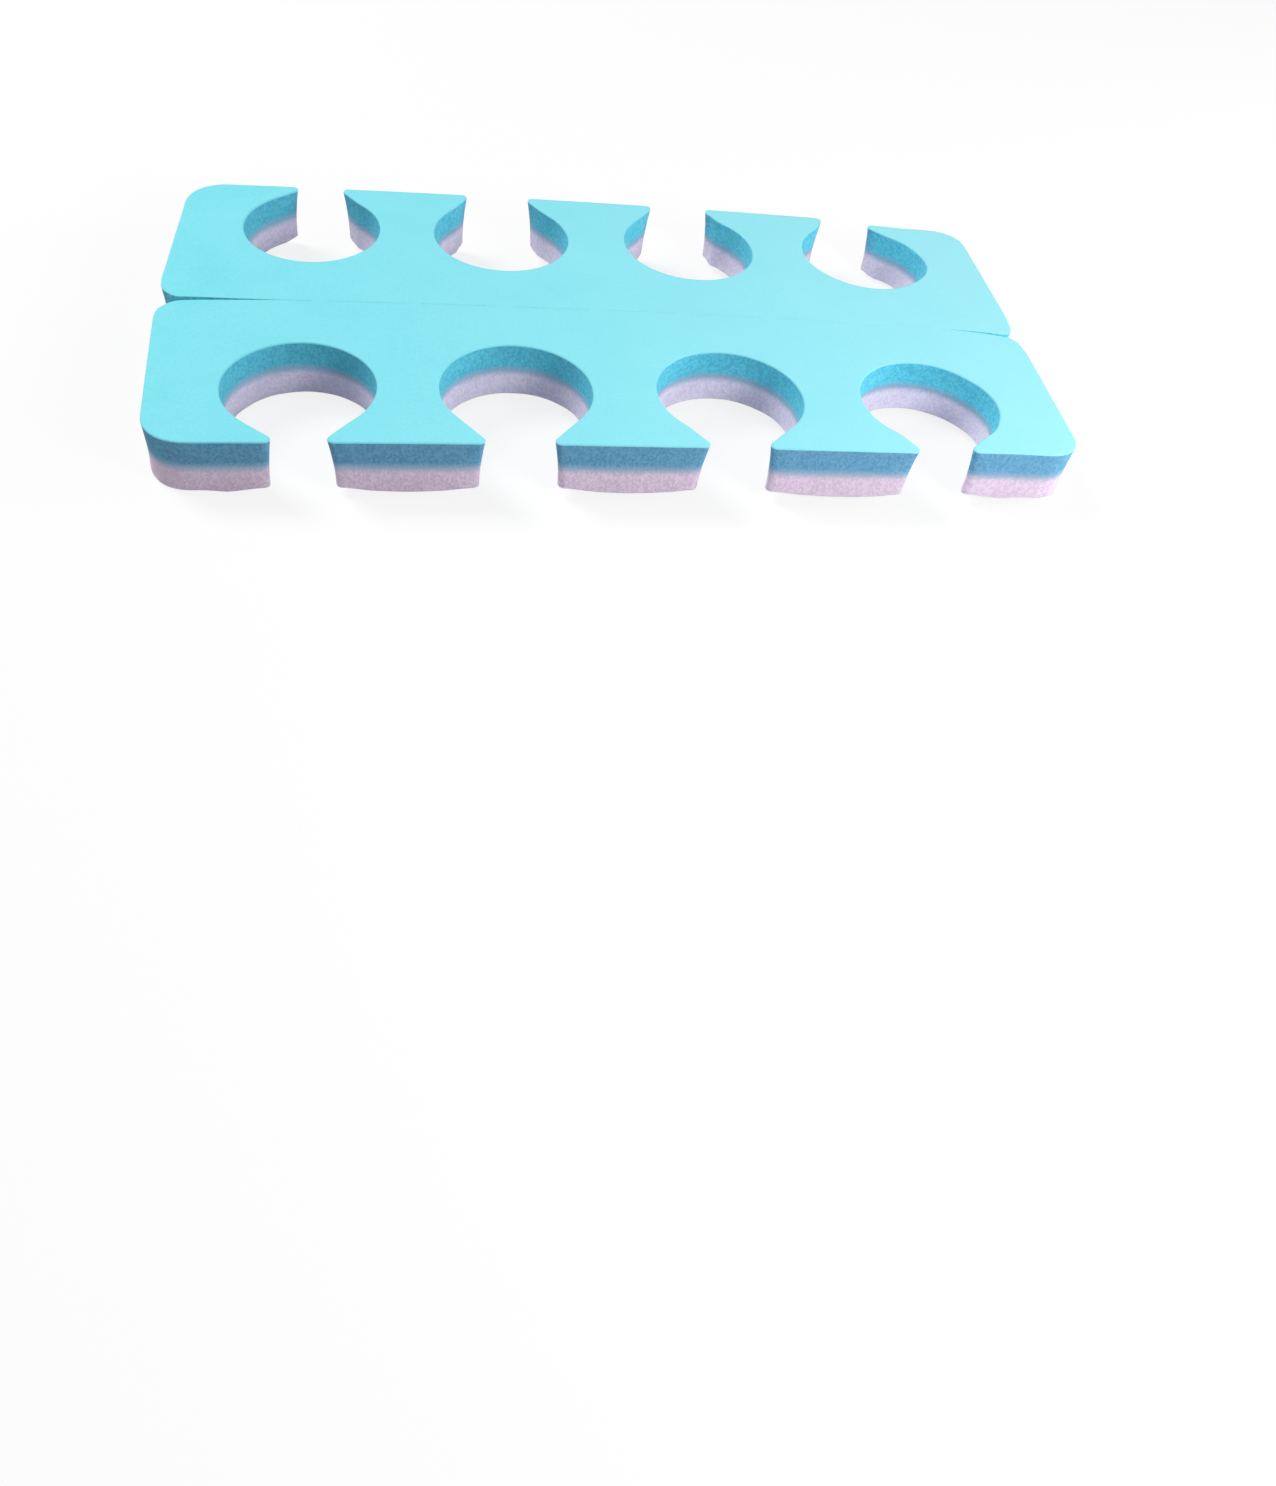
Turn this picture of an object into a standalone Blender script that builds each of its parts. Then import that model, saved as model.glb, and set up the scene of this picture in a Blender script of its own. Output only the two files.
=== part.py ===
"""Toe separator: a pair of foam combs, still joined along their tear line.

Two foam sheets are bonded face to face and die cut together, so both have the same outline.
Each half has toe openings along its outer edge, every one a round hole with a flared mouth.
The halves mirror each other about the spine, where a row of cuts lets them be torn apart.

Lengths are in metres. X runs along the spine, Y across it and Z up from the face that rests.
"""

import math

import bpy
from mathutils import Vector

# Sheets
HALF_WIDTH = 0.0255
LOWER_THICKNESS = 0.0030
UPPER_THICKNESS = 0.0029
BOND_GAP = 0.0003

# Foam left along the spine: before the first hole, between neighbours, and after the last
LEFT_END_WALL = 0.0081
WAISTS = (0.0064, 0.0070, 0.0068)
RIGHT_END_WALL = 0.0077

# Toe openings, one value for each toe from the left
HOLE_RADII = (0.0079, 0.0081, 0.0081, 0.0079)
MOUTH_WIDTHS = (0.0053, 0.0070, 0.0061, 0.0050)
MOUTH_SHIFTS = (0.0003, -0.0001, -0.0003, -0.0001)
NECK_DEPTH = 0.0015
TIP_RADIUS = 0.0006

# Ends of each half: how far each leans in at the toe edge, and how its corners are rounded
LEFT_END_LEAN = 0.0012
RIGHT_END_LEAN = 0.0002
LEFT_TOE_RADIUS = 0.0046
RIGHT_TOE_RADIUS = 0.0038
LEFT_SPINE_RADIUS = 0.0023
RIGHT_SPINE_RADIUS = 0.0015

# Tear line: a long cut in from each end, and short cuts with uncut bridges between them
LEFT_END_CUT = 0.0165
RIGHT_END_CUT = 0.0095
END_CUT_WIDTH = 0.0003
TEAR_CUT_WIDTH = 0.0002
TEAR_CUT_LENGTH = 0.0088
BRIDGE_LENGTH = 0.0015

# Round stretches: the longest straight step, and the fewest steps
ARC_STEP = 0.0007
FEWEST_STEPS = 4

# Foam colours, linear, with their roughness
AQUA = (0.24, 0.80, 0.91, 1.0)
LILAC = (0.64, 0.50, 0.66, 1.0)
FOAM_ROUGHNESS = 0.85

QUARTER_TURN = math.pi / 2
HALF_TURN = math.pi
FULL_TURN = 2 * math.pi

SPINE_LENGTH = LEFT_END_WALL + 2 * sum(HOLE_RADII) + sum(WAISTS) + RIGHT_END_WALL


def clear_scene():
    """Removes every object that the file starts with."""
    for thing in list(bpy.data.objects):
        bpy.data.objects.remove(thing, do_unlink=True)


def angle_of(vector):
    return math.atan2(vector.y, vector.x)


def towards(angle):
    return Vector((math.cos(angle), math.sin(angle)))


def arc(centre, radius, start, sweep):
    """Points along a round stretch, with both of its ends."""
    steps = max(FEWEST_STEPS, math.ceil(abs(sweep) * radius / ARC_STEP))
    return [centre + radius * towards(start + sweep * i / steps) for i in range(steps + 1)]


def rounded_corner(before, corner, after, radius):
    """The arc that rounds a corner between two straight edges."""
    to_before = (before - corner).normalized()
    to_after = (after - corner).normalized()
    half_angle = to_before.angle(to_after) / 2
    centre = corner + (to_before + to_after).normalized() * radius / math.sin(half_angle)
    reach = radius / math.tan(half_angle)
    start = angle_of(corner + to_before * reach - centre)
    end = angle_of(corner + to_after * reach - centre)
    sweep = (end - start + HALF_TURN) % FULL_TURN - HALF_TURN
    return arc(centre, radius, start, sweep)


def hole_centres():
    """Where the holes lie: each one wall or waist on from the last, a neck in from the toe edge."""
    centres = []
    edge = 0.0
    for wall, radius in zip((LEFT_END_WALL,) + WAISTS, HOLE_RADII):
        centres.append(Vector((edge + wall + radius, HALF_WIDTH - NECK_DEPTH - radius)))
        edge += wall + 2 * radius
    return centres


def toe_opening(hole, radius, mouth_width, mouth_shift):
    """One opening, from the tab's tip on its left, round the hole, to the tip on its right.

    A flared side is the line that touches both the hole and the round tip of the tab.
    """
    tips = {}
    touches = {}
    for side in (-1, 1):
        tip_x = hole.x + mouth_shift + side * (mouth_width / 2 + TIP_RADIUS)
        tips[side] = Vector((tip_x, HALF_WIDTH - TIP_RADIUS))
        to_tip = tips[side] - hole
        spread = math.acos((radius + TIP_RADIUS) / to_tip.length)
        touches[side] = angle_of(to_tip) - side * spread
    left_sweep = touches[-1] - HALF_TURN - QUARTER_TURN
    left_tip = arc(tips[-1], TIP_RADIUS, QUARTER_TURN, left_sweep)
    round_hole = arc(hole, radius, touches[-1], (touches[1] - touches[-1]) % FULL_TURN)
    right_start = touches[1] + HALF_TURN
    right_tip = arc(tips[1], TIP_RADIUS, right_start, QUARTER_TURN - right_start)
    return left_tip + round_hole + right_tip


def half_outline():
    """One half's edge, from the left end cut round the toe edge to the right end cut."""
    flank = END_CUT_WIDTH / 2
    left_cut = Vector((LEFT_END_CUT, flank))
    left_spine = Vector((0.0, flank))
    left_toe = Vector((LEFT_END_LEAN, HALF_WIDTH))
    right_toe = Vector((SPINE_LENGTH - RIGHT_END_LEAN, HALF_WIDTH))
    right_spine = Vector((SPINE_LENGTH, flank))
    right_cut = Vector((SPINE_LENGTH - RIGHT_END_CUT, flank))

    points = [left_cut]
    points += rounded_corner(left_cut, left_spine, left_toe, LEFT_SPINE_RADIUS)
    points += rounded_corner(left_spine, left_toe, right_toe, LEFT_TOE_RADIUS)
    for opening in zip(hole_centres(), HOLE_RADII, MOUTH_WIDTHS, MOUTH_SHIFTS):
        points += toe_opening(*opening)
    points += rounded_corner(left_toe, right_toe, right_spine, RIGHT_TOE_RADIUS)
    points += rounded_corner(right_toe, right_spine, right_cut, RIGHT_SPINE_RADIUS)
    points.append(right_cut)
    return points


def pair_outline():
    """Both halves as one closed outline, mirrored about the spine."""
    front = half_outline()
    back = [Vector((point.x, -point.y)) for point in reversed(front)]
    return front + back


def tear_cuts():
    """The short cuts, as closed slots with square ends, in a row midway between the end cuts."""
    left_end = LEFT_END_CUT
    right_end = SPINE_LENGTH - RIGHT_END_CUT
    pitch = TEAR_CUT_LENGTH + BRIDGE_LENGTH
    count = int((right_end - left_end - BRIDGE_LENGTH) / pitch)
    first = (left_end + right_end - count * pitch + BRIDGE_LENGTH) / 2
    flank = TEAR_CUT_WIDTH / 2
    slots = []
    for i in range(count):
        left = first + i * pitch
        right = left + TEAR_CUT_LENGTH
        corners = ((left, -flank), (left, flank), (right, flank), (right, -flank))
        slots.append([Vector(corner) for corner in corners])
    return slots


def foam(name, colour):
    """Closed-cell foam: matt, in one colour right through."""
    material = bpy.data.materials.new(name)
    material.use_nodes = True
    shader = material.node_tree.nodes["Principled BSDF"]
    shader.inputs["Base Color"].default_value = colour
    shader.inputs["Roughness"].default_value = FOAM_ROUGHNESS
    shader.inputs["Metallic"].default_value = 0.0
    material.diffuse_color = colour
    return material


def foam_sheet(name, base, thickness, material, collection):
    """One die-cut sheet, extruded from its outline, with its lower face at the height base."""
    outline = bpy.data.curves.new(name, "CURVE")
    outline.dimensions = "2D"
    outline.fill_mode = "BOTH"
    outline.extrude = thickness / 2
    edge = pair_outline()
    reach = [point.x for point in edge]
    middle = (min(reach) + max(reach)) / 2
    for loop in [edge] + tear_cuts():
        spline = outline.splines.new("POLY")
        spline.points.add(len(loop) - 1)
        for spline_point, place in zip(spline.points, loop):
            spline_point.co = (place.x - middle, place.y, 0.0, 1.0)
        spline.use_cyclic_u = True
    outline.materials.append(material)
    sheet = bpy.data.objects.new(name, outline)
    sheet.location.z = base + thickness / 2
    collection.objects.link(sheet)
    return sheet


def build():
    clear_scene()
    collection = bpy.data.collections.new("toe_separator")
    bpy.context.scene.collection.children.link(collection)
    upper_base = LOWER_THICKNESS + BOND_GAP
    foam_sheet("lower_foam_sheet", 0.0, LOWER_THICKNESS, foam("lilac_foam", LILAC), collection)
    foam_sheet("upper_foam_sheet", upper_base, UPPER_THICKNESS, foam("aqua_foam", AQUA), collection)


build()
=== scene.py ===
# %% [markdown]
# # Toe separator: a pair of foam combs
#
# The real object is die cut from two foam sheets that are bonded face to face: aqua above, pale lilac below.
# Each half has four toe openings, and the halves still hang together along a row of short cuts.
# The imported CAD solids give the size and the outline, so the lesson starts from them and adds what a
# plain solid lacks: a rounded skin edge, cut walls that spring back, lips along the tear line and foam cells.

# %% Load the solids
import math

import bmesh
import bpy
from mathutils import Matrix, Vector, kdtree, noise


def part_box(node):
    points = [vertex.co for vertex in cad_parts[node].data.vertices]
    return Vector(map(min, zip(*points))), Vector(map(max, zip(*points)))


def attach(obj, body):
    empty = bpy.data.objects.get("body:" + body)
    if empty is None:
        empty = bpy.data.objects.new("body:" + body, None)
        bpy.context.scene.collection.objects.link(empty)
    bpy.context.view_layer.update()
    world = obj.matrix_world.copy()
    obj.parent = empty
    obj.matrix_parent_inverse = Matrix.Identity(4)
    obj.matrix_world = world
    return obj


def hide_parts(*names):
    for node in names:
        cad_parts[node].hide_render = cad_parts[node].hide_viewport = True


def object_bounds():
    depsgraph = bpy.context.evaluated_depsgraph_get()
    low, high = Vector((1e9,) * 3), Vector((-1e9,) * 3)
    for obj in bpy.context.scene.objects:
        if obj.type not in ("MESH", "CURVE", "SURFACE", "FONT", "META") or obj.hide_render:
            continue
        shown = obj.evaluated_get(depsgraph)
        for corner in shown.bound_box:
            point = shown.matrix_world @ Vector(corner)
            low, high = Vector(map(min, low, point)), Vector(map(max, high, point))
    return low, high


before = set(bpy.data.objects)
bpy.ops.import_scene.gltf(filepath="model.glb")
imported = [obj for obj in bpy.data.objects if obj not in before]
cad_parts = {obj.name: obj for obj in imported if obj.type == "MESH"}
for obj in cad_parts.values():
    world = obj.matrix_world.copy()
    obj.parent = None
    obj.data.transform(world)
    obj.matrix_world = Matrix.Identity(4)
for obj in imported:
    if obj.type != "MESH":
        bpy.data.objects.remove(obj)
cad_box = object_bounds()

MM = 0.001
print("CAD box, mm:", [tuple(round(c / MM, 2) for c in corner) for corner in cad_box])

# %% [markdown]
# ## The heights
#
# On the real object the two sheets touch, with only a bond between them. The solids keep a small gap there
# for the physics, so the bond is put on top of the lower sheet, and the upper sheet is built down to it.

# %% Heights of the two skins and of the bond
LOWER_NODE = "lower_foam_sheet"
UPPER_NODE = "upper_foam_sheet"
under_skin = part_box(LOWER_NODE)[0].z
top_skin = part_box(UPPER_NODE)[1].z
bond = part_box(LOWER_NODE)[1].z
print("heights, mm:", [round(h / MM, 2) for h in (under_skin, bond, top_skin)])

# %% [markdown]
# ## How the pair lies
#
# Such thin foam never lies quite flat. The pair in the photograph arches a little along the spine and twists
# a little from corner to corner. Half of its bend is kept here, so that the foam stays close to the flat
# solids. The arch is a parabola along x, and the twist is a product of x and y. Both are kept as a function of
# the place, and the lift is set so that the lowest corners touch the floor.

# %% Arch and twist
ARCH = 0.66 * MM
TWIST = 0.33 * MM
HALF_LENGTH = 50.0 * MM
HALF_SPAN = 25.5 * MM


def bend(x, y):
    """How much lower the foam is at a place than in the middle, as a negative height."""
    along = x / HALF_LENGTH
    across = y / HALF_SPAN
    return -ARCH * along * along - TWIST * along * across


lift = -min(bend(vert.co.x, vert.co.y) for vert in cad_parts[LOWER_NODE].data.vertices)
print("the middle lies", round(lift / MM, 2), "mm above the floor")

# %% [markdown]
# ## The camera
#
# The photograph was taken from close by with a wide lens, so the near edge looms and the far edge shrinks.
# Such perspective can't be had from a long lens, so the camera stands where the photographer stood:
# a pinhole fit of the outline gave its distance, its two angles and its small roll.

# %% Stand the camera where the photograph was taken
PHOTO_HEIGHT_PX = 1486
FOCAL_PX = 1269.7
AZIMUTH = math.radians(-14.454)
ELEVATION = math.radians(48.781)
ROLL = math.radians(-10.064)
DISTANCE = 103.634 * MM
LOOK_AT = Vector((-4.618 * MM, -65.364 * MM, top_skin + lift))
SENSOR_MM = 36.0
CLIP_START = 5 * MM

level = math.cos(ELEVATION)
back = Vector((math.sin(AZIMUTH) * level, -math.cos(AZIMUTH) * level, math.sin(ELEVATION)))
side = (-back).cross(Vector((0, 0, 1))).normalized()
down = (-back).cross(side)
picture_right = math.cos(ROLL) * side + math.sin(ROLL) * down
picture_down = -math.sin(ROLL) * side + math.cos(ROLL) * down

camera_data = bpy.data.cameras.new("camera")
camera_data.sensor_width = SENSOR_MM
camera_data.lens = FOCAL_PX * SENSOR_MM / PHOTO_HEIGHT_PX
camera_data.clip_start = CLIP_START
camera = bpy.data.objects.new("camera", camera_data)
turn = Matrix((picture_right, -picture_down, back)).transposed()
camera.matrix_world = Matrix.Translation(LOOK_AT + back * DISTANCE) @ turn.to_4x4()
bpy.context.scene.collection.objects.link(camera)
bpy.context.scene.camera = camera
print("lens, mm:", round(camera_data.lens, 2), "eye, mm:", [round(c / MM) for c in camera.location])

# %% [markdown]
# ## The die line
#
# The die's knife draws one line that both sheets share. It could be drawn again with curves, but the solid
# already carries it, so a copy of its mesh is merged, and only the face that looks down is kept and turned up.

# %% Take one flat face off the lower solid
MERGE = 0.01 * MM
LOOKS_DOWN = -0.9


def flat_outline():
    """The outline as a flat mesh that looks up."""
    bm = bmesh.new()
    bm.from_mesh(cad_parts[LOWER_NODE].data)
    bmesh.ops.remove_doubles(bm, verts=bm.verts, dist=MERGE)
    others = [face for face in bm.faces if face.normal.z > LOOKS_DOWN]
    bmesh.ops.delete(bm, geom=others, context="FACES")
    bmesh.ops.reverse_faces(bm, faces=bm.faces)
    return bm


sheet = flat_outline()
drawn_length = sum(edge.calc_length() for edge in sheet.edges if edge.is_boundary)
print("outline:", len(sheet.verts), "points,", round(drawn_length / MM), "mm of knife")

# %% [markdown]
# ## The rim
#
# Where the knife enters the skin, the foam's edge is crisp but not razor sharp: it turns over within a
# sixth of a millimetre. Bevelling would cut across the fine mesh that comes later, so the rim is
# inset first, as narrow bands inside the outline. A last flat band keeps the skin's shading flat.
# Each point remembers in `rise` how far up the rim it lies: first as the number of its band, and once all
# the bands are made as a share, from 0 on the wall to 1 on the skin.
# The thin triangles inside would fold as a band pushes them, so after each band they are filled again.

# %% Inset the bands of the rim
RIM = 0.16 * MM
HOLD = 0.14 * MM
RIM_BANDS = 3

rise = sheet.verts.layers.float.new("rise")


def fill_inside(bm, number_of_band):
    """Fills the inner edge of the last band with triangles, and marks their edges as seams."""
    inner_rim = [edge for edge in bm.edges if edge.is_boundary and edge.verts[0][rise] == number_of_band]
    made = bmesh.ops.triangle_fill(bm, edges=inner_rim, use_beauty=True, normal=(0, 0, 1))["geom"]
    for edge in made:
        if isinstance(edge, bmesh.types.BMEdge):
            edge.seam = True
    return [face for face in made if isinstance(face, bmesh.types.BMFace)]


def turn_angle(number_of_band):
    """How far the rim has turned over at the inner edge of a band."""
    return math.pi / 2 * min(1, number_of_band / RIM_BANDS)


turned = 0.0
inside = sheet.faces[:]
for band in range(1, RIM_BANDS + 2):
    reach = RIM * (1 - math.cos(turn_angle(band)))
    width = reach - turned if band <= RIM_BANDS else HOLD
    turned = reach
    strip = bmesh.ops.inset_region(sheet, faces=inside, thickness=width, use_boundary=True, use_even_offset=True)
    bands = set(strip["faces"])
    inside = [face for face in inside if face not in bands]
    for vert in {vert for face in inside for vert in face.verts}:
        vert[rise] = band
    bmesh.ops.delete(sheet, geom=inside, context="FACES")
    inside = fill_inside(sheet, band)
for vert in sheet.verts:
    vert[rise] = math.sin(turn_angle(vert[rise]))
print("rim:", len(sheet.faces), "faces, rises", sorted({round(vert[rise], 2) for vert in sheet.verts}))

# %% [markdown]
# ## A fine, even mesh
#
# Long thin triangles can't bend, so the face is cut into small squares, as a carpenter would rule a grid:
# a plane cuts it every millimetre or so, both ways, and then the triangles' own edges, which were marked
# as seams when they were filled, are dissolved.
# The planes also add points along the straight edges, which lets the walls curve there.

# %% Rule the grid
GRID = 1.1 * MM


def rule(bm, axis, reach):
    """Cuts the mesh with planes along one axis, GRID apart."""
    count = int(reach / GRID)
    for step in range(-count, count + 1):
        place = Vector((0, 0, 0))
        place[axis] = (step + 0.5) * GRID
        facing = Vector((0, 0, 0))
        facing[axis] = 1
        every = bm.verts[:] + bm.edges[:] + bm.faces[:]
        bmesh.ops.bisect_plane(bm, geom=every, dist=MERGE, plane_co=place, plane_no=facing)


rule(sheet, 0, cad_box[1].x)
rule(sheet, 1, cad_box[1].y)
old = [edge for edge in sheet.edges if edge.seam]
bmesh.ops.dissolve_edges(sheet, edges=old, use_verts=True)
print("grid:", len(sheet.faces), "faces,", sum(vert.is_boundary for vert in sheet.verts), "points on the outline")

# %% [markdown]
# ## How cut foam springs back
#
# Under the die the foam is squeezed, and when it springs back the cut walls aren't straight any more.
# The sharp tips of the tabs draw in most. That is the shape which a line takes when it is smoothed,
# so a copy of the outline is relaxed with the smooth operator, and each outline point remembers in
# `pull` where it went. It also remembers in `inward` which way the foam lies. In the tear zone, right beside
# the spine, nothing is pulled, because the tear line gets a shape of its own.

# %% Relax a copy of the outline
RELAX_TIMES = 30
RELAX = 0.5
TEAR_ZONE = 0.4 * MM

number = sheet.verts.layers.int.new("number")
pull = sheet.verts.layers.float_vector.new("pull")
inward = sheet.verts.layers.float_vector.new("inward")
for index, vert in enumerate(sheet.verts):
    vert[number] = index

for edge in sheet.edges:
    if edge.is_boundary:
        along = edge.verts[1].co - edge.verts[0].co
        across = Vector((-along.y, along.x, 0)).normalized()
        middle = (edge.verts[0].co + edge.verts[1].co) / 2
        if across.dot(edge.link_faces[0].calc_center_median() - middle) < 0:
            across = -across
        for vert in edge.verts:
            vert[inward] = vert[inward] + across * edge.calc_length()
for vert in sheet.verts:
    vert[inward] = vert[inward].normalized()

line = sheet.copy()
bmesh.ops.delete(line, geom=[vert for vert in line.verts if not vert.is_boundary], context="VERTS")
for _ in range(RELAX_TIMES):
    bmesh.ops.smooth_vert(line, verts=line.verts, factor=RELAX, use_axis_x=True, use_axis_y=True)
line_number = line.verts.layers.int["number"]
relaxed = {vert[line_number]: vert.co.copy() for vert in line.verts}
line.free()
for vert in sheet.verts:
    if vert[number] in relaxed and abs(vert.co.y) > TEAR_ZONE:
        vert[pull] = relaxed[vert[number]] - vert.co
print("largest pull, mm:", round(max(vert[pull].length for vert in sheet.verts) / MM, 2))

# %% [markdown]
# The points inside the outline have to follow it, or the underside would fold over at the tips. Each one
# looks for the nearest outline points in a k-d tree and takes their share of the move, less with distance.
# SOFTEN keeps a point that lies right at the outline from dividing by almost nothing.

# %% Let the points inside follow
FOLLOW = 2.5 * MM
NEAREST = 6
SOFTEN = 0.1 * MM

rim_points = [vert for vert in sheet.verts if vert.is_boundary and abs(vert.co.y) > TEAR_ZONE]
tree = kdtree.KDTree(len(rim_points))
for index, vert in enumerate(rim_points):
    tree.insert(vert.co, index)
tree.balance()
followers = 0
for vert in sheet.verts:
    from_outline = tree.find(vert.co)[2]
    if not vert.is_boundary and from_outline < FOLLOW:
        total = 0.0
        pull_sum = Vector((0, 0, 0))
        inward_sum = Vector((0, 0, 0))
        for _, index, far in tree.find_n(vert.co, NEAREST):
            share = 1 / (far + SOFTEN)
            total += share
            pull_sum += rim_points[index][pull] * share
            inward_sum += rim_points[index][inward] * share
        remains = 1 - from_outline / FOLLOW
        vert[pull] = pull_sum / total * remains
        vert[inward] = inward_sum / total * remains
        followers += 1
print("inside points that follow:", followers)

# %% [markdown]
# ## The walls
#
# Extruding the flat face gives the side at the bond and the walls at once. The walls are then cut into rings,
# because a wall of one tall face couldn't bow. The raised sheet is one unit tall: a point's z is 0 at the skin
# and 1 at the bond, and WALL_RINGS says how far down the wall each ring is put later.

# %% Extrude one sheet and cut its walls into rings
WALL_RINGS = (0.0, 0.06, 0.2, 0.4, 0.6, 0.8, 1.0)
UPRIGHT = 0.5


def raised_sheet(flat):
    """A closed copy of the flat face, one unit tall, with rings round its walls."""
    bm = flat.copy()
    everything = bm.verts[:] + bm.edges[:] + bm.faces[:]
    made = bmesh.ops.extrude_face_region(bm, geom=everything, use_keep_orig=True)
    lifted = [part for part in made["geom"] if isinstance(part, bmesh.types.BMVert)]
    bmesh.ops.translate(bm, verts=lifted, vec=(0, 0, 1))
    uprights = [edge for edge in bm.edges if abs(edge.verts[0].co.z - edge.verts[1].co.z) > UPRIGHT]
    bmesh.ops.subdivide_edges(bm, edges=uprights, cuts=len(WALL_RINGS) - 2)
    return bm


trial = raised_sheet(sheet)
open_edges = sum(not edge.is_manifold for edge in trial.edges)
print("closed sheet:", len(trial.faces), "faces,", open_edges, "open edges")
trial.free()

# %% [markdown]
# ## The tear line's lips
#
# At each end the halves part in a notch, and the cut narrows from there until its lips touch. It is a groove:
# widest at the skin, and nearly shut a little way down, because the lips round over as they part.
# Between the end cuts only a hair-thin line shows. The solids have room for a knife of 0.2 to 0.3 mm there,
# so the lips are moved together by what the real cut lacks. A flank is where the solid's lip lies, beside the
# long cuts at the ends or beside the short ones between them.

# %% How far the lips move
LEFT_CUT_END = -33.5 * MM
RIGHT_CUT_END = 40.4 * MM
END_FLANK = 0.15 * MM
SHORT_FLANK = 0.10 * MM
LEFT_APEX = -48.2 * MM
RIGHT_APEX = 48.6 * MM
LEFT_TAPER = 12.0 * MM
RIGHT_TAPER = 9.0 * MM
TAPER_CURVE = 1.3
OPEN_LIP = 0.42 * MM
RIGHT_SHARE = 0.6
CLOSED_LIP = 0.01 * MM
NOTCH = 0.70 * MM
NOTCH_LENGTH = 2.0 * MM
NOTCH_CURVE = 2
LIP_REACH = 1.9 * MM
GROOVE = 0.7 * MM
GROOVE_SHUTS = 0.85
CUT_END_SLACK = GRID / 4


def lip_half_gap(x, below_skin):
    """Half the width of the cut at x, in metres: a groove that is widest at the skin."""
    inside = min((x - LEFT_APEX) / LEFT_TAPER, (RIGHT_APEX - x) / RIGHT_TAPER)
    opened = min(1.0, max(0.0, 1 - inside)) ** TAPER_CURVE * (RIGHT_SHARE if x > 0 else 1)
    shut = min(1.0, below_skin / GROOVE)
    beyond = max(LEFT_APEX - x, x - RIGHT_APEX)
    flare = NOTCH * min(1.0, max(0.0, beyond / NOTCH_LENGTH)) ** NOTCH_CURVE
    return CLOSED_LIP + (OPEN_LIP - CLOSED_LIP) * opened * (1 - GROOVE_SHUTS * shut) + flare


def lip_shift(x, y, below_skin):
    """How far a point beside the tear line moves towards it, or away from it where the cut stands open."""
    if abs(y) > LIP_REACH:
        return 0.0
    in_end_cut = x < LEFT_CUT_END + CUT_END_SLACK or x > RIGHT_CUT_END - CUT_END_SLACK
    flank = END_FLANK if in_end_cut else SHORT_FLANK
    fade = 1 - max(0.0, abs(y) - flank) / (LIP_REACH - flank)
    return math.copysign(1, y) * (flank - lip_half_gap(x, below_skin)) * min(1.0, fade)


print("lips, mm:", [round(2 * lip_half_gap(x * MM, 0) / MM, 2) for x in (-47, -42, -36, 0, 44, 48)])

# %% [markdown]
# ## Places that have been pushed aside
#
# The die cuts both halves alike, but soft foam doesn't stay where the die left it. The outline in the
# photograph was laid over the solid's, and where they part by more than a tenth of a millimetre the foam is
# pushed: the tips of the tabs, the toe edges at the right, and the spine corners, which have rounded.
# Each push is strongest at its own place and fades smoothly to nothing at its reach. A row gives the place's
# x and y, the move's x and y, and the reach.

# %% Pushes: place, move and reach
PUSHES_MM = (
    (-36.4, -25.5, 0.1, 0.0, 4.0), (-36.4, 25.5, 0.3, 0.0, 4.0),
    (-31.1, -25.5, 0.2, 0.0, 4.0), (-31.1, 25.5, 0.4, 0.0, 4.0),
    (-15.2, 25.5, -0.3, 0.0, 4.0), (-8.2, 25.5, 0.3, 0.0, 4.0),
    (8.2, -25.5, -0.3, 0.0, 4.0), (8.2, 25.5, -0.3, 0.0, 4.0),
    (14.3, 25.5, 0.8, 0.0, 4.0),
    (31.8, -25.5, -1.0, 0.0, 4.5), (31.8, 25.5, -1.0, 0.0, 4.5),
    (36.8, -25.5, 0.2, 0.0, 4.0), (36.8, 25.5, 0.3, 0.0, 4.0),
    (38.5, -25.5, 0.0, 0.4, 7.0), (45.5, -25.5, 0.0, 0.4, 7.0),
    (38.5, 25.5, 0.0, -0.9, 7.0), (45.5, 25.5, 0.0, -0.9, 7.0), (49.9, 25.5, -0.3, -0.2, 6.0),
    (42.2, 15.0, 0.5, -0.2, 6.0), (42.2, -15.0, 0.2, 0.0, 5.0),
    (-49.95, -0.15, 0.35, -0.35, 4.0), (-49.95, 0.15, 0.12, 0.2, 4.0),
    (49.95, 0.0, 0.0, -0.8, 14.0), (49.95, -0.15, -0.4, -0.3, 4.5),
)


def pushed(x, y):
    """How far the foam at a place has been pushed aside."""
    shift = Vector((0, 0, 0))
    for push_x, push_y, move_x, move_y, reach in PUSHES_MM:
        far = math.hypot(x / MM - push_x, y / MM - push_y) / reach
        if far < 1:
            shift += Vector((move_x, move_y, 0)) * MM * (1 - far * far) ** 2
    return shift


print("push beside the fourth mouth, mm:", round(pushed(31.8 * MM, -25.5 * MM).x / MM, 2))

# %% [markdown]
# ## Shape the sheets
#
# One function places every point of both sheets, so their walls meet without a step at the bond.
# Going down from the top skin, the tips draw in and lift, the walls bow by a tenth of a millimetre, and a slow
# noise makes the lower edge as uneven as foam that was torn from a die. Close to the tear line nothing draws in,
# and the rim is narrower, so that the slit stays fine.

# %% How a point is placed
ON_SKIN = 0.001
SLIT_ZONE = LIP_REACH / 2
SLIT_RIM = 0.35
TIP_DRAW = 0.6
TIP_DRAW_EASE = 0.3
TIP_LIFT = 0.3
BOW = 0.10 * MM
WANDER = 0.07 * MM
WANDER_SIZE = 2.5 * MM
WANDER_SQUASH = 0.7
WANDER_AT_TOP = 0.4


def drawn_in(depth):
    """Share of the pull at a depth, 0 at the top skin and 1 at the underside."""
    return TIP_DRAW * ((1 + TIP_DRAW_EASE) * depth - TIP_DRAW_EASE * depth * depth)


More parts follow.
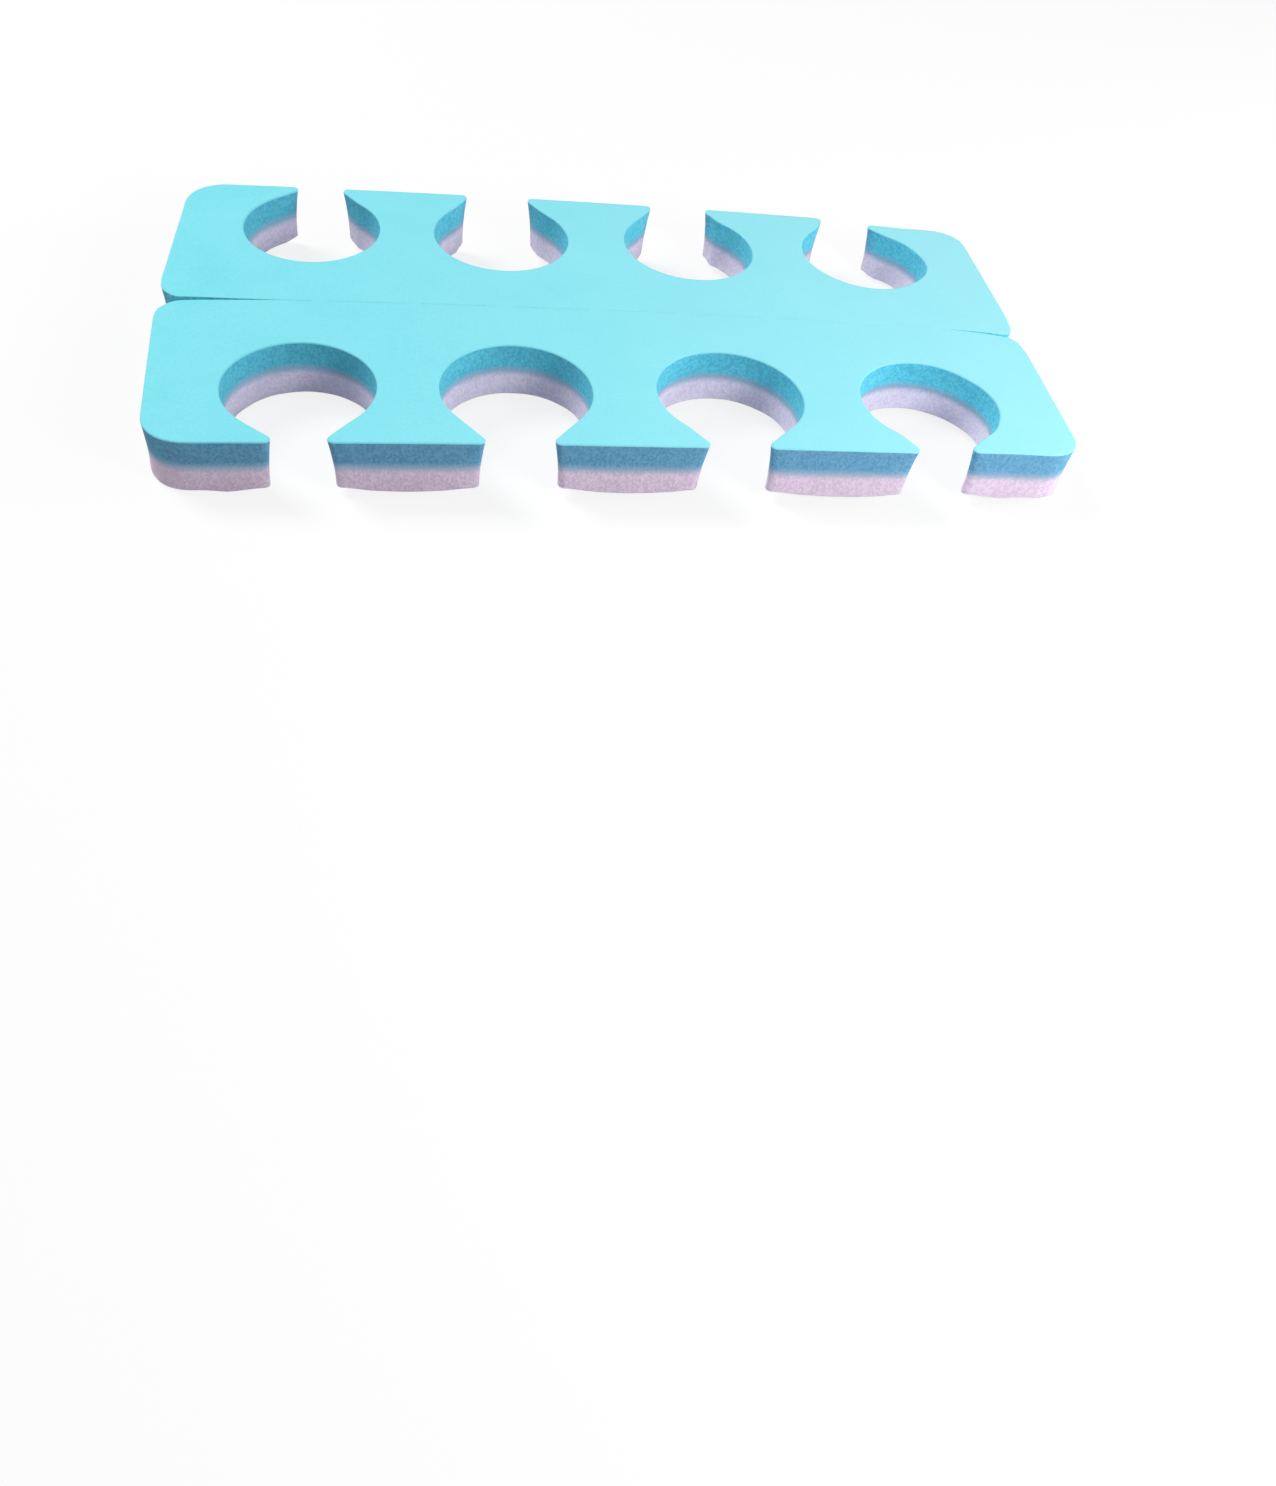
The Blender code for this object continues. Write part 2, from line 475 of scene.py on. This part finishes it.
def out_of_line(x, y, z, depth):
    """How far a wall is off the straight towards the foam: an even bow and a slow, uneven wander."""
    wave = noise.noise(Vector((x, y, z * WANDER_SQUASH)) / WANDER_SIZE)
    growth = WANDER_AT_TOP + (1 - WANDER_AT_TOP) * depth
    return BOW * 4 * depth * (1 - depth) + WANDER * wave * growth


def placed(vert, layers, skin):
    """A point's finished place, with the sheet's skin at one height and its bond at the other."""
    rise_layer, pull_layer, inward_layer = layers
    x, y, level_up = vert.co
    outward = 1 if skin > bond else -1
    near_tear = abs(y) < SLIT_ZONE
    rim = RIM * (SLIT_RIM if near_tear else 1)
    edge_height = skin - outward * rim
    if level_up < ON_SKIN:
        z = skin - outward * rim * (1 - vert[rise_layer])
    else:
        ring = min(round(level_up * (len(WALL_RINGS) - 1)), len(WALL_RINGS) - 1)
        z = edge_height + (bond - edge_height) * WALL_RINGS[ring]
    depth = (top_skin - z) / (top_skin - under_skin)
    move = vert[pull_layer] * drawn_in(depth)
    move += vert[inward_layer] * out_of_line(x, y, z, depth)
    move.z = TIP_LIFT * vert[pull_layer].length * depth * depth
    if near_tear:
        move = Vector((0, 0, 0))
    move += pushed(x, y)
    y_at_lip = y + move.y - lip_shift(x, y, abs(z - skin))
    return Vector((x + move.x, y_at_lip, z + move.z + lift + bend(x, y)))


print("share of the pull at the underside:", round(drawn_in(1), 2))

# %% [markdown]
# ## Two finished sheets
#
# Both sheets are raised from the same flat face: the upper one from the top skin down to the bond, and the
# lower one from the underside up to it. Each point of a sheet also gets two values for the material of the cut
# walls: `above_bond_mm` is its height over the bond, and the other is 1 on the outer walls, which get painted
# shade, and 0 inside the openings and beside the spine, where the walls are painted lit.

# %% Build the two sheets
SKIN_SLOT = 0
WALL_SLOT = 1
INNER_SPAN = 23.7 * MM
INNER_LENGTH = 46.5 * MM
EDGE_BAND = 1.5 * MM
SHARP = math.radians(50)


def outer_shade_share(x, y):
    """How much painted shade a place's cut wall gets: 1 at the outer edges of the pair, 0 inside it and beside
    the spine.
    """
    past_end = min(abs(x) - INNER_LENGTH, abs(y) - TEAR_ZONE)
    past_edge = max(abs(y) - INNER_SPAN, past_end)
    return min(1.0, max(0.0, past_edge / EDGE_BAND))


def foam_sheet(name, skin):
    """One finished sheet as an object, with its skin and its cut walls in their own material slots."""
    bm = raised_sheet(sheet)
    layers = (bm.verts.layers.float["rise"], bm.verts.layers.float_vector["pull"],
              bm.verts.layers.float_vector["inward"])
    above = bm.verts.layers.float.new("above_bond_mm")
    outer_shade = bm.verts.layers.float.new("outer_shade")
    for face in bm.faces:
        highest = max(vert.co.z for vert in face.verts)
        face.material_index = SKIN_SLOT if highest < ON_SKIN else WALL_SLOT
    for vert in bm.verts:
        x, y, _ = vert.co
        # painted shade: the outer walls are drawn darker, the walls inside and beside the spine lit
        vert[outer_shade] = outer_shade_share(x, y)
        vert.co = placed(vert, layers, skin)
        vert[above] = (vert.co.z - lift - bend(x, y) - bond) / MM
    bmesh.ops.recalc_face_normals(bm, faces=bm.faces)
    many_sided = [face for face in bm.faces if len(face.verts) > 4]
    bmesh.ops.triangulate(bm, faces=many_sided)
    for face in bm.faces:
        face.smooth = True
    for edge in bm.edges:
        if len(edge.link_faces) == 2 and edge.calc_face_angle() > SHARP:
            edge.smooth = False
    volume = bm.calc_volume(signed=True)
    mesh = bpy.data.meshes.new(name)
    bm.to_mesh(mesh)
    bm.free()
    piece = bpy.data.objects.new(name, mesh)
    bpy.context.scene.collection.objects.link(piece)
    print(name, len(mesh.polygons), "faces,", round(volume / MM ** 3 / 1000, 2), "cubic cm")
    return piece


aqua_sheet = foam_sheet("aqua_foam_comb", top_skin)
lilac_sheet = foam_sheet("lilac_foam_comb", under_skin)

# %% [markdown]
# ## Colours and a helper for nodes
#
# Colours are written as sRGB hex, as a paint program shows them, and one function turns them to the linear
# values that the shader works in. A second small function adds any node with its settings and its links, and
# the rest are short names for what the materials do more than once. A mix node has its colours on inputs 6 and
# 7 and output 2, and its plain values on inputs 2 and 3 and output 0.

# %% Helpers for materials


def linear(hex_colour):
    """An sRGB hex colour as linear red, green, blue and an alpha of 1."""
    values = []
    for start in (1, 3, 5):
        c = int(hex_colour[start:start + 2], 16) / 255
        values.append(c / 12.92 if c <= 0.04045 else ((c + 0.055) / 1.055) ** 2.4)
    return (*values, 1.0)


def grey(value):
    """A linear grey with an alpha of 1."""
    return (value, value, value, 1.0)


def add(tree, kind, inputs=(), **settings):
    """Adds a node, sets what it is given, and fills its inputs with values or with other nodes' outputs."""
    node = tree.nodes.new(kind)
    for name, value in settings.items():
        setattr(node, name, value)
    for socket, value in dict(inputs).items():
        if isinstance(value, bpy.types.NodeSocket):
            tree.links.new(value, node.inputs[socket])
        else:
            node.inputs[socket].default_value = value
    return node


def mixed_colour(tree, factor, first, second, blend_type="MIX"):
    """Two colours mixed by a factor."""
    sockets = {"Factor": factor, 6: first, 7: second}
    return add(tree, "ShaderNodeMix", sockets, data_type="RGBA", blend_type=blend_type).outputs[2]


def mixed_value(tree, factor, first, second):
    """Two plain values mixed by a factor."""
    return add(tree, "ShaderNodeMix", {"Factor": factor, 2: first, 3: second}).outputs[0]


def spread(tree, value, low, high):
    """A value stretched so that low becomes 0 and high becomes 1."""
    return add(tree, "ShaderNodeMapRange", {"Value": value, "From Min": low, "From Max": high}).outputs["Result"]


def along_pair(tree, place, left, right):
    """A value that goes along x from one at the left end to another at the right end."""
    x = add(tree, "ShaderNodeSeparateXYZ", {"Vector": place}).outputs["X"]
    ends = {"Value": x, "From Min": -HALF_LENGTH, "From Max": HALF_LENGTH, "To Min": left, "To Max": right}
    return add(tree, "ShaderNodeMapRange", ends).outputs["Result"]


print("aqua:", [round(c, 3) for c in linear("#87eefa")])

# %% [markdown]
# ## What skins and cut walls share
#
# Light goes a short way into the foam, which softens every edge. Both finishes are otherwise a colour over a
# bump that the rounded cells give.

# %% Start and finish a foam material
CELL_IOR = 1.45
GLOW_REACH = 0.6 * MM


def new_foam(name, roughness, glow_share, glow):
    """A foam material with its uniform numbers set: the material, its node tree and the place on the object."""
    material = bpy.data.materials.new(name)
    material.use_nodes = True
    tree = material.node_tree
    shader = tree.nodes["Principled BSDF"]
    shader.inputs["Roughness"].default_value = roughness
    shader.inputs["IOR"].default_value = CELL_IOR
    shader.inputs["Subsurface Weight"].default_value = glow_share
    shader.inputs["Subsurface Radius"].default_value = glow
    shader.inputs["Subsurface Scale"].default_value = GLOW_REACH
    return material, tree, add(tree, "ShaderNodeTexCoord").outputs["Object"]


def finish_foam(tree, colour, place, cell, strength, distance):
    """Links the colour to the shader, and a bump of rounded cells."""
    shader = tree.nodes["Principled BSDF"]
    cells = add(tree, "ShaderNodeTexVoronoi", {"Vector": place, "Scale": 1 / cell}, feature="SMOOTH_F1")
    bump = add(tree, "ShaderNodeBump", {"Height": cells.outputs["Distance"], "Strength": strength,
                                        "Distance": distance})
    tree.links.new(colour, shader.inputs["Base Color"])
    tree.links.new(bump.outputs["Normal"], shader.inputs["Normal"])


print("light goes", round(GLOW_REACH / MM, 2), "mm into the foam")

# %% [markdown]
# ## Foam skin
#
# The sheets are closed-cell ethylene-vinyl acetate foam. The skin of such a sheet is a film of flattened
# cells: matt, with a fine grain of a third of a millimetre and soft clouds where the foam is a little denser.
# The skin also carries painted light: it is drawn paler and whiter from left to right, as the light and its
# sheen grow stronger towards the right, so a paler colour is mixed in along x.

# %% Material of the skins
GRAIN = 0.34 * MM
GRAIN_BUMP = 0.35
GRAIN_DEPTH = 0.03 * MM
CLOUD = 7.0 * MM
CLOUD_SHARE = 0.45
SKIN_CONTRAST = (0.3, 0.7)
SKIN_ROUGHNESS = 0.62
SKIN_GLOW_SHARE = 0.15
# the share of the paler colour at the right end: painted light and sheen
PAINTED_SHEEN_SHARE = 0.6


def foam_skin(name, light, dark, painted_sheen, glow):
    """Matt closed-cell foam skin: fine grain over soft clouds, and painted light that makes it paler towards the
    right end.
    """
    material, tree, place = new_foam(name, SKIN_ROUGHNESS, SKIN_GLOW_SHARE, glow)
    grain = add(tree, "ShaderNodeTexNoise", {"Vector": place, "Scale": 1 / GRAIN, "Detail": 2.0})
    cloud = add(tree, "ShaderNodeTexNoise", {"Vector": place, "Scale": 1 / CLOUD, "Detail": 3.0})
    both = mixed_value(tree, CLOUD_SHARE, grain.outputs["Fac"], cloud.outputs["Fac"])
    colour = mixed_colour(tree, spread(tree, both, *SKIN_CONTRAST), linear(dark), linear(light))
    colour = mixed_colour(tree, along_pair(tree, place, 0.0, PAINTED_SHEEN_SHARE), colour, linear(painted_sheen))
    finish_foam(tree, colour, place, GRAIN, GRAIN_BUMP, GRAIN_DEPTH)
    return material


AQUA_GLOW = (0.35, 1.0, 1.0)
LILAC_GLOW = (1.0, 0.85, 1.0)
# The third colour is painted light: the skin as it looks paler at the right end, where light and sheen are
# stronger.
aqua_skin = foam_skin("aqua_closed_cell_foam_skin", "#87eefa", "#78e6f4", "#aeeaf4", AQUA_GLOW)
lilac_skin = foam_skin("lilac_closed_cell_foam_skin", "#eadff0", "#ddd0e4", "#efe6f4", LILAC_GLOW)
print("skins:", aqua_skin.name, lilac_skin.name)

# %% [markdown]
# ## Cut walls
#
# The knife opens the cells, so a cut wall is rougher and duller than the skin: each open cell is a tiny
# cup with its own shade. The walls also carry painted shade: inside the openings and beside the spine they get
# a lit colour, and the outer walls are drawn darker and greyer, as they stood in shade, which each point holds
# as a value from 0 inside to 1 outside. Painted shade also makes the walls darker towards the left end and paler
# towards the right, as less light falls on the left, so their colour is multiplied by a shade that grows along x.
# The bond melts the two colours together over about half a millimetre on each side, a little unevenly. The wall
# reads `above_bond_mm`, so the melt follows the bond.

# %% Material of the cut walls
CELL = 0.26 * MM
CELL_BUMP = 0.7
CELL_DEPTH = 0.08 * MM
STREAK = 3 * CELL
STREAK_SHARE = 0.35
WALL_CONTRAST = (0.25, 0.75)
WALL_ROUGHNESS = 0.9
WALL_GLOW_SHARE = 0.2
MELT_MM = 0.95
MELT_WANDER_MM = 0.3
MELT_COLOUR = "#a0bcd7"
# painted shade: how dark the walls are drawn at the left end, where less light falls
AQUA_PAINTED_LEFT_SHADE = 0.74
LILAC_PAINTED_LEFT_SHADE = 0.88


def bond_melt(tree, uneven):
    """How much of the bond's mixed colour shows: 1 at the bond, fading to 0 over an uneven distance."""
    height = add(tree, "ShaderNodeAttribute", attribute_name="above_bond_mm")
    far = add(tree, "ShaderNodeMath", {0: height.outputs["Fac"]}, operation="ABSOLUTE")
    reach = add(tree, "ShaderNodeMath", {0: uneven, 1: MELT_WANDER_MM, 2: far.outputs[0]},
                operation="MULTIPLY_ADD")
    fade = {"Value": reach.outputs[0], "From Max": MELT_MM, "To Min": 1.0, "To Max": 0.0}
    return add(tree, "ShaderNodeMapRange", fade, interpolation_type="SMOOTHSTEP").outputs["Result"]


def cut_foam(name, lit_inner, shaded_outer, painted_left_shade, glow):
    """Cut closed-cell foam: open cells, painted shade outside and towards the left, with the bond's colour
    melting in.
    """
    material, tree, place = new_foam(name, WALL_ROUGHNESS, WALL_GLOW_SHARE, glow)
    cells = add(tree, "ShaderNodeTexVoronoi", {"Vector": place, "Scale": 1 / CELL})
    shade = add(tree, "ShaderNodeSeparateColor", {"Color": cells.outputs["Color"]}).outputs["Red"]
    streak = add(tree, "ShaderNodeTexNoise", {"Vector": place, "Scale": 1 / STREAK, "Detail": 3.0}).outputs["Fac"]
    amount = spread(tree, mixed_value(tree, STREAK_SHARE, shade, streak), *WALL_CONTRAST)
    inner = mixed_colour(tree, amount, linear(lit_inner[1]), linear(lit_inner[0]))
    outer = mixed_colour(tree, amount, linear(shaded_outer[1]), linear(shaded_outer[0]))
    # painted shade on the outer walls, which fades into the lit colour of the inner walls
    outer_shade = add(tree, "ShaderNodeAttribute", attribute_name="outer_shade").outputs["Fac"]
    foam = mixed_colour(tree, outer_shade, inner, outer)
    # painted shade: darker at the left end, full colour at the right
    foam = mixed_colour(tree, 1.0, foam, along_pair(tree, place, painted_left_shade, 1.0), blend_type="MULTIPLY")
    colour = mixed_colour(tree, bond_melt(tree, streak), foam, linear(MELT_COLOUR))
    finish_foam(tree, colour, place, CELL, CELL_BUMP, CELL_DEPTH)
    return material


# Each wall gets a lit pair of colours for inside the openings, a darker, greyer pair for the outer walls in
# painted shade, and the painted shade at its left end.
aqua_cut = cut_foam("aqua_die_cut_foam_wall", ("#6ee3fb", "#5ccde8"), ("#74b4da", "#61a3ca"),
                    AQUA_PAINTED_LEFT_SHADE, AQUA_GLOW)
lilac_cut = cut_foam("lilac_die_cut_foam_wall", ("#f7ecff", "#e8dcf6"), ("#f3def4", "#e2cce5"),
                     LILAC_PAINTED_LEFT_SHADE, LILAC_GLOW)
print("walls:", aqua_cut.name, lilac_cut.name)

# %% [markdown]
# ## Dress the sheets
#
# The skin goes into the first slot and the cut wall into the second, which is how the faces were numbered.

# %% Give each sheet its two materials
for piece, skin_finish, wall_finish in ((aqua_sheet, aqua_skin, aqua_cut), (lilac_sheet, lilac_skin, lilac_cut)):
    piece.data.materials.append(skin_finish)
    piece.data.materials.append(wall_finish)
    print(piece.name, "wears", [material.name for material in piece.data.materials])

# %% [markdown]
# ## Put the sheets in the frame
#
# Each sheet stands for its solid, which the physics keeps and the render hides. It rides on the only body.

for piece, node, slot in ((aqua_sheet, UPPER_NODE, "aqua_foam"), (lilac_sheet, LOWER_NODE, "lilac_foam")):
    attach(piece, "root")
    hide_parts(node)
    print(piece.name, "stands for", node)

# %% [markdown]
# ## The floor
#
# The photograph's background is plain white. The floor shows near-white to the camera, and takes a real
# shadow on top of that, and it throws back three quarters of the light, as matt white paper does.

# %% Lay the floor
FLOOR_REACH = 2.0
FLOOR_SEEN = 0.17
FLOOR_GLOW = 0.83
FLOOR_BOUNCE = 0.75
FLOOR_GAP = 0.02 * MM

floor_mesh = bpy.data.meshes.new("floor")
floor_bm = bmesh.new()
bmesh.ops.create_grid(floor_bm, x_segments=2, y_segments=2, size=FLOOR_REACH)
bmesh.ops.translate(floor_bm, verts=floor_bm.verts, vec=(0, 0, under_skin - FLOOR_GAP))
floor_bm.to_mesh(floor_mesh)
floor_bm.free()
floor = bpy.data.objects.new("floor", floor_mesh)
bpy.context.scene.collection.objects.link(floor)

floor_paint = bpy.data.materials.new("white_paper")
floor_paint.use_nodes = True
paint = floor_paint.node_tree
paint.nodes.remove(paint.nodes["Principled BSDF"])
rays = add(paint, "ShaderNodeLightPath").outputs
seen = rays["Is Camera Ray"]
for kind in ("Is Glossy Ray", "Is Transmission Ray"):
    seen = add(paint, "ShaderNodeMath", {0: seen, 1: rays[kind]}, operation="MAXIMUM").outputs[0]
paper = add(paint, "ShaderNodeBsdfDiffuse", {"Color": grey(FLOOR_SEEN)})
glow = add(paint, "ShaderNodeEmission", {"Strength": FLOOR_GLOW})
shown = add(paint, "ShaderNodeAddShader", {0: paper.outputs[0], 1: glow.outputs[0]})
dull = add(paint, "ShaderNodeBsdfDiffuse", {"Color": grey(FLOOR_BOUNCE)})
chosen = add(paint, "ShaderNodeMixShader", {0: seen, 1: dull.outputs[0], 2: shown.outputs[0]})
paint.links.new(chosen.outputs[0], paint.nodes["Material Output"].inputs["Surface"])
floor_mesh.materials.append(floor_paint)
print("floor:", 2 * FLOOR_REACH, "m across")

# %% [markdown]
# ## The light
#
# In the photograph the skins are bright and the walls that face the camera are at under half of that, darker
# on the left than on the right. So a dim even dome opens the shadows, one broad soft lamp stands high at the
# back left and lights the skins, and two smaller ones stand close at the right, where their light falls off
# along the object.

# %% Light the scene
DOME = 0.22
DOME_SEEN = 1.0

world = bpy.data.worlds.new("studio")
world.use_nodes = True
sky = world.node_tree
dome = sky.nodes["Background"]
seen = add(sky, "ShaderNodeLightPath").outputs["Is Camera Ray"]
strength = add(sky, "ShaderNodeMapRange", {"Value": seen, "To Min": DOME, "To Max": DOME_SEEN})
dome.inputs["Color"].default_value = grey(1.0)
sky.links.new(strength.outputs["Result"], dome.inputs["Strength"])
bpy.context.scene.world = world


def soft_lamp(name, place_mm, aim_mm, size_mm, watts):
    """A square area lamp at a place, turned to what it lights."""
    light = bpy.data.lights.new(name, "AREA")
    light.size = size_mm * MM
    light.energy = watts
    lamp = bpy.data.objects.new(name, light)
    place = Vector(place_mm) * MM
    lamp.location = place
    lamp.rotation_euler = (Vector(aim_mm) * MM - place).to_track_quat("-Z", "Y").to_euler()
    lamp.visible_camera = False
    bpy.context.scene.collection.objects.link(lamp)


soft_lamp("high_at_the_back_left", (-300, 200, 400), (0, 0, 0), 200, 2.0)
soft_lamp("low_at_the_right", (250, 0, 90), (20, 0, 0), 100, 0.24)
soft_lamp("near_the_front_right", (92, -118, 80), (36, -10, 0), 50, 0.12)
bpy.context.scene.view_settings.view_transform = "Standard"
